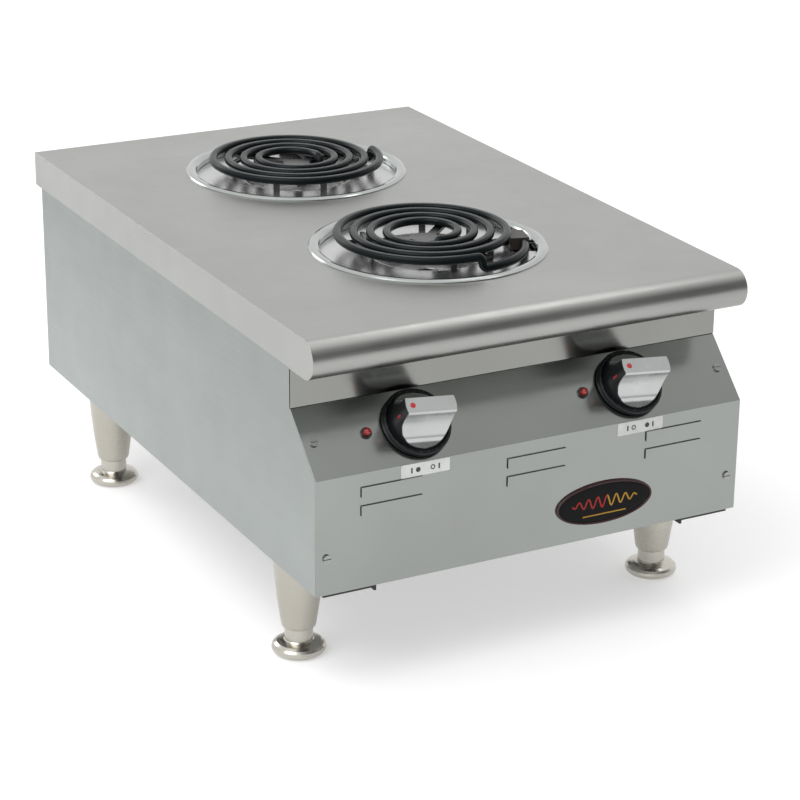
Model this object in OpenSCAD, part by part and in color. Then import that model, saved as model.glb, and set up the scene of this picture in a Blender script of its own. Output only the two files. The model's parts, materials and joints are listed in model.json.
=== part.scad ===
// Countertop electric hot plate with two coil burners one behind the other.
// Millimetres, +Z up. The floor is z = 0, the front is -Y and the operator's right is +X.

/* [Cabinet] */
// overall width of the lift-off top
top_w = 457.2; // [400:0.1:500]
// height of the cooking deck above the floor
top_z = 342; // [300:0.5:380]
// front edge of the rounded nose
nose_y = -335; // [-345:0.5:-325]
// rear edge of the top
back_y = 349; // [341:0.5:365]
// radius of the rounded nose
nose_r = 18.5; // [12:0.5:24]
// depth of the turned-down edges of the top
flange_h = 36; // [25:0.5:45]
// thickness of the sheet metal
sheet = 1.2; // [0.8:0.1:2]
// width across the side panels
body_w = 454; // [390:0.1:496]
// height of the lower edge of the side panels
base_z = 101.6; // [90:0.1:115]
// front face of the louvred panel
front_y = -336; // [-345:0.5:-330]
// rear face of the back panel
rear_y = 336; // [328:0.5:340]
// height of the fold above the louvres
fold_z = 214.5; // [190:0.5:230]
// length of the sloped part, measured along y
slope_d = 52; // [40:0.5:60]

/* [Burners] */
// x of both burners' centres
burner_x = -3; // [-10:0.5:10]
// y of the front burner's centre
front_burner_y = -127; // [-135:0.5:-120]
// y of the rear burner's centre
rear_burner_y = 167; // [160:0.5:175]
// direction of the front burner's receptacle
front_turn = -15; // [-180:1:180]
// direction of the rear burner's receptacle
rear_turn = 68; // [-180:1:180]
// radius of the hole in the deck
deck_hole_r = 108; // [100:0.5:112]
// outer radius of the trim ring
ring_r = 116.5; // [110:0.5:122]
// radius of the heating tube
tube_r = 4.2; // [3:0.1:5]
// outermost radius of the tube's centre line
coil_r = 88.3; // [86:0.1:89]
// step between neighbouring turns
coil_pitch = 16; // [15.5:0.1:16.2]
// height of the tube's centre line above the deck
coil_lift = 13; // [9:0.5:18]

/* [Controls] */
// distance of each knob from the middle
knob_x = 114; // [90:1:150]
// radius of the knob's dial
dial_r = 33.2; // [33:0.1:35]
// radius of the knob's grip at its foot
grip_r = 28; // [27:0.1:28.2]
// radius of the grip at the top of its bar
grip_top_r = 25; // [24:0.1:26]
// height of the grip's bar above the panel
grip_h = 42.5; // [41:0.5:50]
// angle between the bar and the panel's edge at rest
grip_turn = -6; // [-180:1:180]
// distance from a knob to its signal lamp
lamp_dx = 50; // [42:1:60]

/* [Legs] */
// distance of the legs from the middle
leg_x = 198; // [180:1:205]
// y of the front legs
leg_front_y = -240; // [-270:1:-210]
// y of the rear legs
leg_rear_y = 224; // [190:1:240]
// radius at the top of a leg
leg_r = 24.2; // [22.8:0.1:26]
// radius of a foot's pad
pad_r = 26; // [25.5:0.5:30]
// radius of the sliding neck of a foot
neck_r = 13.6; // [10:0.1:14]

/* [Hidden] */
$fn = 96;

// inner width between the outer plates, and the gap kept between sheets
body_x = body_w / 2;
gap = 0.1;
panel_x = body_x - gap;
lip = 14;
side_in = body_x - sheet;
// top of the slope and the strip above it
slope_y = front_y + slope_d;
slope_z = fold_z + slope_d;
strip_y = slope_y - 1.5;
deck_under = top_z - sheet;
// middle of the slope, where the controls sit
ctrl_y = front_y + slope_d / 2;
ctrl_z = fold_z + slope_d / 2;
screw_x = 216;
screw_z = 138;
screw_r = 2;
inlet_x = 150;
inlet_z = 140;
inlet_r = 11.1;
// decks and floors inside
rail_t = 2.5;
rail_z = base_z + gap - rail_t;
pan_z = rail_z + rail_t + gap + sheet + gap;
shield_z = 288;
baffle_y = -257;
wire_r = 1.6;
pilot_x = [-knob_x - lamp_dx, knob_x - lamp_dx];
// burner stack, heights given from the deck
ledge_z = -6.2;
ring_lip_z = -7;
ledge_in = 57;
notch_w = 18;
pin_x = 101;
pin_z = -14;
pin_r = 2;
run = 0.05;
coil_z = top_z + coil_lift;
spider_z = coil_z - tube_r;
block_z = [-5.8, 6.5];
block_x = [79, 98];
block_w = 13;

function nrm(a, b) = let (d = b - a) [-d[1], d[0]] / norm(d);
function shifted(p, i, t) = i == 0 ? p[0] + t * nrm(p[0], p[1])
    : i == len(p) - 1 ? p[i] + t * nrm(p[i - 1], p[i])
    : let (a = nrm(p[i - 1], p[i]), b = nrm(p[i], p[i + 1])) p[i] + t * (a + b) / (1 + a * b);
function placed(cy, turn, p) = [burner_x + p[0] * cos(turn) - p[1] * sin(turn),
    cy + p[0] * sin(turn) + p[1] * cos(turn), p[2]];

// open path given a thickness to its left
module bent(p, t) {
    polygon(concat(p, [for (i = [len(p) - 1 : -1 : 0]) shifted(p, i, t)]));
}

// section drawn in (y, z), run along x
module along_x(x0, x1) {
    translate([x0, 0, 0])
        rotate([90, 0, 90])
            linear_extrude(x1 - x0) children();
}

module box(lo, hi) {
    translate(lo) cube(hi - lo);
}

// frame of the sloped panel: u along x, v up the slope, w out of it
module on_slope(x) {
    translate([x, ctrl_y, ctrl_z]) rotate([45, 0, 0]) children();
}

module at_burner(cy, turn) {
    translate([burner_x, cy, 0]) rotate([0, 0, turn]) children();
}

module wire(p) {
    ext = wire_r * 0.8;
    for (i = [0 : len(p) - 2]) {
        d = p[i + 1] - p[i];
        start = i == 0 ? 0 : ext;
        end = i == len(p) - 2 ? 0 : ext;
        translate(p[i])
            rotate([0, acos(d[2] / norm(d)), atan2(d[1], d[0])])
                translate([0, 0, -start])
                    cylinder(r = wire_r * (i % 2 == 0 ? 1 : 1.1), h = norm(d) + start + end);
    }
}

module screw(head_r, head_h, length) {
    difference() {
        cylinder(r = head_r, h = head_h);
        translate([-head_r, -0.5, head_h - 0.8]) cube([2 * head_r, 1, 1]);
    }
    translate([0, 0, -length]) cylinder(r = screw_r, h = length);
}

// ---- cabinet ----

module nose_section() {
    bottom = top_z - 2 * nose_r;
    difference() {
        translate([nose_y + nose_r, top_z - nose_r]) circle(r = nose_r);
        translate([nose_y + nose_r, top_z - nose_r]) circle(r = nose_r - sheet);
        translate([nose_y + nose_r, bottom - 1]) square([2 * nose_r, 2 * nose_r + 2]);
    }
    translate([nose_y + nose_r, deck_under]) square([back_y - nose_y - nose_r, sheet]);
    translate([nose_y + nose_r, bottom]) square([strip_y - gap - nose_y - nose_r, sheet]);
}

module end_section() {
    translate([nose_y + nose_r, top_z - nose_r]) circle(r = nose_r);
    translate([nose_y + nose_r, top_z - flange_h])
        square([back_y - nose_y - nose_r, flange_h]);
}

module top_panel() {
    half = top_w / 2;
    color("silver") difference() {
        union() {
            along_x(-half, half) nose_section();
            along_x(-half, -half + sheet) end_section();
            along_x(half - sheet, half) end_section();
            box([-half, back_y - sheet, top_z - flange_h], [half, back_y, top_z]);
        }
        for (cy = [front_burner_y, rear_burner_y]) {
            translate([burner_x, cy, deck_under - 1]) cylinder(r = deck_hole_r, h = 4);
        }
    }
}

module side_panel(side) {
    outline = [[slope_y + 1, deck_under - gap], [slope_y + 1, slope_z - sheet * sqrt(2) + 1],
        [front_y + sheet + gap, fold_z - 0.6], [front_y + sheet + gap, base_z],
        [rear_y - sheet - gap, base_z], [rear_y - sheet - gap, deck_under - gap]];
    front = [outline[0], outline[1] + [0, -0.1], outline[2], [outline[2][0], rail_z + 4]];
    color("lightgray") mirror([side < 0 ? 1 : 0, 0, 0]) difference() {
        union() {
            along_x(side_in, body_x) polygon(outline);
            along_x(side_in - lip, side_in) bent(front, sheet);
            box([side_in - lip, outline[4][0] - sheet, rail_z + 4],
                [side_in, outline[4][0], deck_under - gap]);
            box([side_in - lip, front_y + 8, pan_z - gap - sheet],
                [side_in, rear_y - 8, pan_z - gap]);
        }
        translate([screw_x, front_y, screw_z]) rotate([90, 0, 0])
            cylinder(r = screw_r, h = 10, center = true);
        for (z = [screw_z, top_z - 60]) {
            translate([screw_x, rear_y, z]) rotate([90, 0, 0]) cylinder(r = screw_r, h = 10, center = true);
        }
        on_slope(screw_x) cylinder(r = screw_r, h = 10, center = true);
    }
}

module back_panel() {
    color("lightgray") difference() {
        box([-panel_x, rear_y - sheet, base_z + gap], [panel_x, rear_y, deck_under - gap]);
        translate([inlet_x, rear_y, inlet_z]) rotate([90, 0, 0]) cylinder(r = inlet_r, h = 6, center = true);
        for (x = [-screw_x, screw_x], z = [screw_z, top_z - 60]) {
            translate([x, rear_y, z]) rotate([90, 0, 0]) cylinder(r = screw_r, h = 6, center = true);
        }
        for (x = [-130 : 52 : 130], z = [232, 246, 260]) {
            translate([x, rear_y - 3, z]) rotate([-90, 0, 0]) linear_extrude(6) {
                translate([-16, 0]) circle(r = 2.5);
                translate([16, 0]) circle(r = 2.5);
                square([32, 5], center = true);
            }
        }
    }
}

module front_strip() {
    color("silver")
        box([-panel_x, strip_y, slope_z + gap], [panel_x, strip_y + sheet, top_z - 2 * nose_r - gap]);
}

// one bridge louvre, open at both ends
louvre_l = 62;
louvre_out = 1.7;
louvre_t = 0.8;
slot_h = 8.8;
module louvre(x, z) {
    foot = slot_h / 2 + 1;
    along_x(x - louvre_l / 2, x + louvre_l / 2) translate([front_y, z]) difference() {
        polygon([[sheet / 2, -foot], [-louvre_out, -foot + 0.5], [-louvre_out, foot - 0.5], [sheet / 2, foot]]);
        polygon([[sheet, -foot + louvre_t], [louvre_t - louvre_out, -foot + louvre_t + 0.5],
            [louvre_t - louvre_out, foot - louvre_t - 0.5], [sheet, foot - louvre_t]]);
    }
}

module control_panel() {
    spots = [for (x = [-151, 0, 151], z = [196, 178]) [x, z]];
    color("lightgray") {
        difference() {
            along_x(-panel_x, panel_x)
                bent([[slope_y, slope_z], [front_y, fold_z], [front_y, base_z + 0.4]], sheet);
            for (s = spots) {
                box([s[0] - louvre_l / 2, front_y - 1, s[1] - slot_h / 2],
                    [s[0] + louvre_l / 2, front_y + 3, s[1] + slot_h / 2]);
            }
            for (x = [-screw_x, screw_x]) {
                on_slope(x) cylinder(r = screw_r + 0.2, h = 6, center = true);
                translate([x, front_y, screw_z]) rotate([90, 0, 0])
                    cylinder(r = screw_r + 0.2, h = 6, center = true);
            }
            for (x = [-knob_x, knob_x]) {
                on_slope(x) cylinder(r = bush_r + 0.2, h = 6, center = true);
            }
            for (x = pilot_x) {
                on_slope(x) cylinder(r = barrel_r + gap, h = 6, center = true);
            }
        }
        for (s = spots) {
            louvre(s[0], s[1]);
        }
    }
}

module base_pan() {
    z = pan_z;
    color("gray") difference() {
        union() {
            box([-side_in + 1, front_y + 3, z], [side_in - 1, rear_y - 3.5, z + sheet]);
            box([-208, front_y + 3, z], [208, front_y + 3 + sheet, z + 12]);
            box([-208, rear_y - 3.5 - sheet, z], [208, rear_y - 3.5, z + 12]);
        }
        for (x = [-leg_x, leg_x], y = [leg_front_y, leg_rear_y]) {
            translate([x, y, z - 1]) cylinder(r = 14, h = 4);
        }
        for (x = [-90 : 36 : 90], y = [front_burner_y, 0, rear_burner_y]) {
            translate([x, y, z - 1]) linear_extrude(4) {
                translate([0, -22]) circle(r = 3);
                translate([0, 22]) circle(r = 3);
                square([6, 44], center = true);
            }
        }
    }
}

rail_x = [165, 219];
rail_y = [front_y + 1.5, rear_y - 3];
rail_flange = 3.4;
stud_hole_r = 5.4;
module leg_rail(side) {
    color("dimgray") mirror([side < 0 ? 1 : 0, 0, 0]) difference() {
        union() {
            box([rail_x[0], rail_y[0], rail_z], [rail_x[1], rail_y[1], rail_z + rail_t]);
            box([rail_x[0], rail_y[0], rail_z - rail_flange],
                [rail_x[0] + rail_t, rail_y[1], rail_z + rail_t]);
        }
        for (y = [leg_front_y, leg_rear_y]) {
            translate([leg_x, y, rail_z - 1]) cylinder(r = stud_hole_r, h = 6);
        }
    }
}

module heat_shield() {
    color("gray") difference() {
        box([-220, baffle_y + 2, shield_z], [220, rear_y - 4, shield_z + sheet]);
        for (b = [[front_burner_y, front_turn], [rear_burner_y, rear_turn]]) {
            at_burner(b[0], b[1]) translate([90, 0, shield_z - 1]) cylinder(r = 12, h = 4);
        }
    }
}

module control_baffle() {
    color("gray") difference() {
        box([-side_in + gap, baffle_y, pan_z + sheet + gap],
            [side_in - gap, baffle_y + sheet, deck_under - gap]);
        for (p = [[191, 276, 16], [150, 122, 11]]) {
            translate([p[0], baffle_y - 1, p[1]]) rotate([-90, 0, 0]) cylinder(r = p[2], h = 4);
        }
    }
}

module control_panel_screws() {
    color("silver") for (x = [-screw_x, screw_x]) {
        on_slope(x) screw(4, 1.8, 7);
        translate([x, front_y, screw_z]) rotate([90, 0, 0]) screw(4, 1.8, 7);
    }
}

module back_panel_screws() {
    color("silver") for (x = [-screw_x, screw_x], z = [screw_z, top_z - 60]) {
        translate([x, rear_y, z]) rotate([-90, 0, 0]) screw(4, 1.8, 7);
    }
}

// ---- trim on the front ----

function oval(a, b) = [for (i = [0 : 71]) [a * cos(5 * i), b * sin(5 * i)]];
badge_c = [75.8, 137.5];
badge_half = [50.6, 18.9];
badge_edge = 2.4;
module on_front(x, z) {
    translate([x, front_y, z]) rotate([90, 0, 0]) children();
}

module badge_plate() {
    color("black") on_front(badge_c[0], badge_c[1])
        linear_extrude(1.6) polygon(oval(badge_half[0], badge_half[1]));
}

module badge_rim() {
    color("darkred") on_front(badge_c[0], badge_c[1]) linear_extrude(2.4) difference() {
        polygon(oval(badge_half[0] + badge_edge, badge_half[1] + badge_edge));
        polygon(oval(badge_half[0], badge_half[1]));
    }
}

module burner_label(x) {
    color("white") on_front(x, 207.8) linear_extrude(0.5) square([50, 12.6], center = true);
}

// ---- controls ----

lens_r = 3.4;
lens_w = 4;
barrel_r = 4.5;
bezel_r = 5.3;
module pilot_body(x) {
    color("black") on_slope(x) difference() {
        union() {
            cylinder(r = bezel_r, h = 1.6);
            translate([0, 0, -26]) cylinder(r = barrel_r, h = 26);
            for (u = [-2.5, 2.5]) {
                translate([u - 0.4, -1.5, -33]) cube([0.8, 3, 8]);
            }
        }
        translate([0, 0, -6]) cylinder(r = lens_r, h = 10);
    }
}

module pilot_lens(x) {
    color("red") on_slope(x) {
        translate([0, 0, -6]) cylinder(r = lens_r, h = 6 + lens_w);
        translate([0, 0, lens_w]) intersection() {
            sphere(r = lens_r);
            cylinder(r = lens_r + 1, h = lens_r + 1);
        }
    }
}

switch_h = 30;
bush_r = 4.7;
shaft_r = 3;
shaft_low = -13.8;
shaft_top = 22;
module switch(x) {
    color("saddlebrown") on_slope(x) difference() {
        union() {
            translate([0, 0, -4]) cylinder(r = bush_r, h = 7);
            translate([-17, -16, -switch_h]) cube([34, 32, switch_h - sheet - gap]);
            for (u = [-11, 0, 11], v = [-9, 9]) {
                translate([u - 3, v - 0.4, -switch_h - 8]) cube([6, 0.8, 9]);
            }
        }
        translate([0, 0, shaft_low - 0.2]) cylinder(r = shaft_r + run, h = 20);
    }
}

module switch_nuts() {
    color("silver") for (x = [-knob_x, knob_x]) {
        on_slope(x) difference() {
            cylinder(r = 7.8, h = 2.4, $fn = 6);
            translate([0, 0, -1]) cylinder(r = bush_r, h = 5);
        }
    }
}

module switch_shaft(x) {
    color("silver") on_slope(x) translate([0, 0, shaft_low]) cylinder(r = shaft_r, h = shaft_top - shaft_low);
}

module knob_dial(x) {
    color("black") on_slope(x) difference() {
        rotate_extrude() polygon([[0, 3.6], [9.5, 3.6], [9.5, 5], [dial_r - 3, 5], [dial_r - 1.6, 1],
            [dial_r, 1], [dial_r - 0.3, 6.4], [dial_r - 1.4, 7.6], [dial_r - 3, 7.6],
            [dial_r - 3.8, 6.8], [grip_r + 0.6, 6.8], [grip_r + 0.2, grip_foot], [0, grip_foot]]);
        translate([0, 0, 1]) cylinder(r = shaft_r, h = 10);
    }
}

// half section of the grip across its bar: wall, shoulder, scooped flank and flat top
grip_foot = 7.4;
grip_half = [[grip_r + 1, grip_foot], [grip_r + 1, 8], [24, 9.6], [20, 12], [16, 15.6], [12.6, 20.6],
    [10.2, 27.4], [8.8, 34], [8.3, 38], [8.2, grip_h - 1.05], [7.15, grip_h]];
module knob_grip(x) {
    last = len(grip_half) - 1;
    color("silver") on_slope(x) rotate([0, 0, grip_turn]) difference() {
        intersection() {
            translate([0, 0, grip_foot]) cylinder(r1 = grip_r, r2 = grip_top_r, h = grip_h - grip_foot);
            along_x(-grip_r - 1, grip_r + 1) polygon(concat(grip_half,
                [for (i = [last : -1 : 0]) [-grip_half[i][0], grip_half[i][1]]]));
        }
        cylinder(r = shaft_r, h = shaft_top);
    }
}

// ---- burners ----

module trim_ring(cy, turn) {
    color("silver") translate([0, 0, top_z]) at_burner(cy, turn) difference() {
        rotate_extrude() polygon([[ring_r, 0], [ring_r, 0.8], [115.3, 1.8], [112.6, 2.6], [109.4, 2.3],
            [106.6, 1.1], [105.5, -0.6], [105.5, ring_lip_z], [99.5, ring_lip_z],
            [99.5, ring_lip_z - 0.8], [106.3, ring_lip_z - 0.8], [106.3, -0.8], [107.1, 0.3],
            [109.4, 1.4], [112.6, 1.8], [114.8, 1.1], [115.6, 0]]);
        box([90, -notch_w, ring_lip_z - 2], [105.4, notch_w, ring_lip_z + 0.5]);
    }
}

module drip_pan(cy, turn) {
    color("silver") translate([0, 0, top_z]) at_burner(cy, turn) difference() {
        rotate_extrude() bent([[104.7, ledge_z], [60, ledge_z], [ledge_in, -6.7], [55, -8.4],
            [53.4, -11.5], [50.5, -16], [46, -20], [39, -23], [29, -25], [17, -26], [11, -26.2],
            [9.6, -27]], 0.8);
        box([82, -notch_w, -12], [110, notch_w, 0]);
    }
}

// flat-topped section of the heating tube
module tube_section() {
    difference() {
        circle(r = tube_r);
        translate([-tube_r, tube_r * 0.8]) square([2 * tube_r, tube_r]);
    }
}

// the outer end dips at start_turn and runs round to the receptacle; the inner one crosses under
lead_bend = 6;
half_turns = 8;
start_turn = -72;
lead_arc_r = 78;
lead_arc = 66.5;
lead_in = 15.3;
inner_r = coil_r - half_turns * coil_pitch / 2;

// quarter bend from level to straight down, heading along +y
module bend_down() {
    translate([0, 0, -lead_bend]) rotate([90, 0, 90])
        rotate_extrude(angle = 90) translate([lead_bend, 0]) circle(r = tube_r);
}

// quarter bend from straight down to level, heading along +y
module bend_level() {
    translate([0, lead_bend, 0]) rotate([90, 0, 90]) rotate([0, 0, 180])
        rotate_extrude(angle = 90) translate([lead_bend, 0]) circle(r = tube_r);
}

module heating_coil(cy, turn) {
    lead_z = -2 * lead_bend;
    inlet = [inner_r * cos(start_turn) + lead_bend * cos(start_turn - 90),
        inner_r * sin(start_turn) + lead_bend * sin(start_turn - 90)];
    inner_l = (block_x[0] - inlet[0]) / cos(lead_in) - lead_bend - 1.4;
    color("dimgray") at_burner(cy, turn) translate([0, 0, coil_z]) {
        rotate([0, 0, start_turn]) {
            for (i = [0 : half_turns - 1]) {
                translate([i % 2 == 0 ? 0 : -coil_pitch / 2, 0, 0])
                    rotate([0, 0, i % 2 == 0 ? 180 : 0])
                        rotate_extrude(angle = 180)
                            translate([coil_r - i * coil_pitch / 2, 0]) tube_section();
            }
            translate([coil_r, 0, 0]) bend_down();
            translate([coil_r, lead_bend, -lead_bend]) bend_level();
            translate([coil_r - lead_arc_r, 2 * lead_bend, lead_z])
                rotate_extrude(angle = lead_arc) translate([lead_arc_r, 0]) circle(r = tube_r);
            translate([inner_r, 0, 0]) rotate([0, 0, 180]) bend_down();
        }
        translate([inlet[0], inlet[1], -lead_bend]) rotate([0, 0, lead_in - 90]) bend_level();
        translate([inlet[0], inlet[1], lead_z]) rotate([0, 0, lead_in])
            translate([lead_bend, 0, 0]) rotate([0, 90, 0]) cylinder(r = tube_r, h = inner_l);
    }
}

module coil_spider(cy, turn) {
    bar = 3.2;
    arm_w = 4.5;
    arm_end = 84;
    foot_r = 60;
    foot_w = 24.5;
    color("gray") at_burner(cy, turn) translate([0, 0, spider_z - bar]) {
        translate([-4, 0, 0]) cylinder(r = 14, h = bar);
        for (a = [60, 180, 300]) {
            rotate([0, 0, a]) {
                translate([2, -arm_w, 0]) cube([arm_end - 2, 2 * arm_w, bar]);
                translate([foot_r - 3, -foot_w - 3.3, 0]) cube([5, 2 * foot_w + 6.6, bar]);
                for (s = [-1, 1]) {
                    translate([foot_r, s * foot_w - 3.3, ledge_z + 0.3 - spider_z + bar + top_z])
                        cube([2, 6.6, spider_z - top_z - ledge_z - 0.3]);
                }
            }
        }
    }
}

module receptacle(cy, turn) {
    color("saddlebrown") at_burner(cy, turn) translate([0, 0, top_z]) difference() {
        union() {
            box([block_x[0], -block_w, block_z[0]], [block_x[1], block_w, block_z[1]]);
            box([86, -block_w, -16], [block_x[1], block_w, 0]);
            translate([pin_x, 0, pin_z]) rotate([90, 0, 0]) cylinder(r = 4.5, h = 2 * block_w, center = true);
        }
        translate([pin_x, 0, pin_z]) rotate([90, 0, 0]) cylinder(r = pin_r + run, h = 40, center = true);
    }
}

ear_y = 14;
module pivot_bracket(cy, turn) {
    color("silver") at_burner(cy, turn) translate([0, 0, deck_under]) difference() {
        union() {
            for (s = [-1, 1]) {
                y = s < 0 ? -ear_y - sheet : ear_y;
                box([96, y, pin_z - 4.8], [124, y + sheet, ring_lip_z]);
                box([110, y, ring_lip_z - 1], [124, y + sheet, 0]);
            }
            box([110, -ear_y - sheet, -sheet], [124, ear_y + sheet, 0]);
        }
        translate([pin_x, 0, pin_z + sheet]) rotate([90, 0, 0]) cylinder(r = pin_r, h = 40, center = true);
    }
}

module pivot_pins() {
    color("silver") for (b = [[front_burner_y, front_turn], [rear_burner_y, rear_turn]]) {
        at_burner(b[0], b[1]) translate([pin_x, 0, top_z + pin_z]) rotate([90, 0, 0]) {
            cylinder(r = pin_r, h = 2 * ear_y + 2 * sheet + 1.6, center = true);
            translate([0, 0, ear_y + sheet]) cylinder(r = 3.4, h = 1.2);
        }
    }
}

// ---- electrics ----

terminal_y = 280;
module terminal_block() {
    color("black") difference() {
        box([120, terminal_y - 13, pan_z + sheet], [180, terminal_y + 13, pan_z + sheet + 20]);
        for (x = [135, 150, 165]) {
            translate([x, terminal_y, pan_z + sheet + 8]) cylinder(r = 4, h = 20);
        }
    }
}

module ground_lug() {
    color("goldenrod") translate([196, terminal_y + 7, pan_z + sheet]) difference() {
        union() {
            cylinder(r = 7, h = 3);
            translate([-4, 0, 0]) cube([8, 16, 3]);
            cylinder(r = 3.5, h = 9, $fn = 6);
        }
        translate([0, 10, -1]) cylinder(r = 2, h = 6);
    }
}

// a point in the sloped panel's frame, v up the slope and w out of it
function on_slope_at(x, v, w) = [x, ctrl_y + (v - w) * cos(45), ctrl_z + (v + w) * sin(45)];

lead_y = 6;
blade_v = 9;
blade_w = -38.3;
blade_u = 11;
function burner_wire(cy, turn, s, x, z, in_y, sx) = [
    placed(cy, turn, [90, s * lead_y, top_z - 17]), placed(cy, turn, [90, s * lead_y, z]),
    [x + 4 * s, placed(cy, turn, [90, s * lead_y, 0])[1], z],
    [x + 4 * s, baffle_y - in_y, z],
    on_slope_at(sx + blade_u * s, blade_v, -51 + 7 * s),
    on_slope_at(sx + blade_u * s, blade_v, blade_w)];

module wiring_front_burner() {
    color("white") for (s = [-1, 1]) {
        wire(burner_wire(front_burner_y, front_turn, s, 184, 282, 8, knob_x));
    }
}

module wiring_rear_burner() {
    color("white") for (s = [-1, 1]) {
        wire(burner_wire(rear_burner_y, rear_turn, s, 199, 270, 20 + 4 * s, -knob_x));
    }
}

module wiring_supply() {
    z = pan_z + sheet;
    color("red") for (s = [-1, 1]) {
        wire([[150 + 15 * s, terminal_y, z + 9], [150 + 15 * s, terminal_y, z + 30],
            [150 + 5 * s, terminal_y - 35, 122],
            [150 + 5 * s, baffle_y - 14, 122], on_slope_at(s * knob_x, -blade_v, -58),
            on_slope_at(s * knob_x, -blade_v, blade_w)]);
    }
}

// ---- legs ----

leg_low = 27;
stud_h = 12;
module leg(x, y) {
    color("silver") translate([x, y, 0]) difference() {
        rotate_extrude() polygon([[0, leg_low], [14.6, leg_low], [16.2, leg_low + 1.2],
            [16.9, leg_low + 4], [19.2, 47], [20.3, 55], [22.6, 78], [leg_r, rail_z - 1],
            [leg_r - 1, rail_z], [5, rail_z],
            [5, rail_z + stud_h], [0, rail_z + stud_h]]);
        cylinder(r = neck_r + run, h = 62);
    }
}

module foot(x, y) {
    color("silver") translate([x, y, 0]) rotate_extrude()
        polygon([[0, 0], [pad_r - 5.5, 0], [pad_r - 2.6, 1], [pad_r - 0.8, 2.8], [pad_r, 5.2],
            [pad_r - 0.5, 7.6], [pad_r - 2.2, 9.8], [pad_r - 5, 11.5], [pad_r - 8.5, 12.6],
            [pad_r - 11.4, 13.2], [neck_r, 14.4], [neck_r, 58], [neck_r - 1, 59], [0, 59]]);
}

module leg_nuts() {
    color("silver") for (x = [-leg_x, leg_x], y = [leg_front_y, leg_rear_y]) {
        translate([x, y, rail_z + rail_t]) difference() {
            cylinder(r = 9.8, h = 8, $fn = 6);
            translate([0, 0, -1]) cylinder(r = 5, h = 12);
        }
    }
}

top_panel();
trim_ring(front_burner_y, front_turn);  // trim_ring_front
trim_ring(rear_burner_y, rear_turn);  // trim_ring_rear
drip_pan(front_burner_y, front_turn);  // drip_pan_front
drip_pan(rear_burner_y, rear_turn);  // drip_pan_rear
side_panel(-1);  // side_panel_left
side_panel(1);  // side_panel_right
back_panel();
front_strip();
control_panel();
base_pan();
leg_rail(-1);  // leg_rail_left
leg_rail(1);  // leg_rail_right
heat_shield();
control_baffle();
control_panel_screws();
back_panel_screws();
leg_nuts();
badge_plate();
badge_rim();
burner_label(-knob_x - 3);  // burner_label_left
burner_label(knob_x - 1);  // burner_label_right
pilot_body(pilot_x[0]);  // pilot_body_left
pilot_body(pilot_x[1]);  // pilot_body_right
pilot_lens(pilot_x[0]);  // pilot_lens_left
pilot_lens(pilot_x[1]);  // pilot_lens_right
switch(-knob_x);  // switch_left
switch(knob_x);  // switch_right
switch_nuts();
switch_shaft(-knob_x);  // switch_shaft_left
switch_shaft(knob_x);  // switch_shaft_right
knob_dial(-knob_x);  // knob_dial_left
knob_dial(knob_x);  // knob_dial_right
knob_grip(-knob_x);  // knob_grip_left
knob_grip(knob_x);  // knob_grip_right
heating_coil(front_burner_y, front_turn);  // heating_coil_front
heating_coil(rear_burner_y, rear_turn);  // heating_coil_rear
coil_spider(front_burner_y, front_turn);  // coil_spider_front
coil_spider(rear_burner_y, rear_turn);  // coil_spider_rear
receptacle(front_burner_y, front_turn);  // receptacle_front
receptacle(rear_burner_y, rear_turn);  // receptacle_rear
pivot_bracket(front_burner_y, front_turn);  // pivot_bracket_front
pivot_bracket(rear_burner_y, rear_turn);  // pivot_bracket_rear
pivot_pins();
terminal_block();
ground_lug();
wiring_front_burner();
wiring_rear_burner();
wiring_supply();
leg(-leg_x, leg_front_y);  // leg_front_left
leg(leg_x, leg_front_y);  // leg_front_right
leg(-leg_x, leg_rear_y);  // leg_rear_left
leg(leg_x, leg_rear_y);  // leg_rear_right
foot(-leg_x, leg_front_y);  // foot_front_left
foot(leg_x, leg_front_y);  // foot_front_right
foot(-leg_x, leg_rear_y);  // foot_rear_left
foot(leg_x, leg_rear_y);  // foot_rear_right
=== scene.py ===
"""Looks of a countertop electric hot plate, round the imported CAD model. Metres, +Z up, front is -Y."""
import json
import math

import bmesh
import bpy
from mathutils import Matrix, Vector


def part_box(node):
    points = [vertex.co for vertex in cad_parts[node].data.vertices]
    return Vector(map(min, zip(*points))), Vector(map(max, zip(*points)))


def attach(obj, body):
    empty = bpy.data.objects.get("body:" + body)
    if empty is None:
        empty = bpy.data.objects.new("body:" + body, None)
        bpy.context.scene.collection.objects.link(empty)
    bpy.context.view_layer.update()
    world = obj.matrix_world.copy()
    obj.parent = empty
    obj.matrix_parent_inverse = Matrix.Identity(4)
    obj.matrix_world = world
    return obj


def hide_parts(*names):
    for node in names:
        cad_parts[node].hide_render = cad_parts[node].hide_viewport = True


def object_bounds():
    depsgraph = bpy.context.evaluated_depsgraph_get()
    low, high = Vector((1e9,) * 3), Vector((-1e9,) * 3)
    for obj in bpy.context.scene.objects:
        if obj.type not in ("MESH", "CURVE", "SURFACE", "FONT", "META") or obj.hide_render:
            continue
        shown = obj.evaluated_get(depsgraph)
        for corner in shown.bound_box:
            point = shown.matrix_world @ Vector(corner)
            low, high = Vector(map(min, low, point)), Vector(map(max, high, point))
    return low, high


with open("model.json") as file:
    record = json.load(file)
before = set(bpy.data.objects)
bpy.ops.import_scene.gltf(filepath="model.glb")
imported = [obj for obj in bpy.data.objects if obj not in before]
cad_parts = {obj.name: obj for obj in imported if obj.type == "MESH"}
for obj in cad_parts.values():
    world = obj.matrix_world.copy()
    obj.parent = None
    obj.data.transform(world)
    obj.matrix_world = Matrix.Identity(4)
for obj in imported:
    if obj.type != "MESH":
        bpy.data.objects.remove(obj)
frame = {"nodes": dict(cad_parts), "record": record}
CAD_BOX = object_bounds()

SCENE = bpy.context.scene
RECORD = frame["record"]
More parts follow.
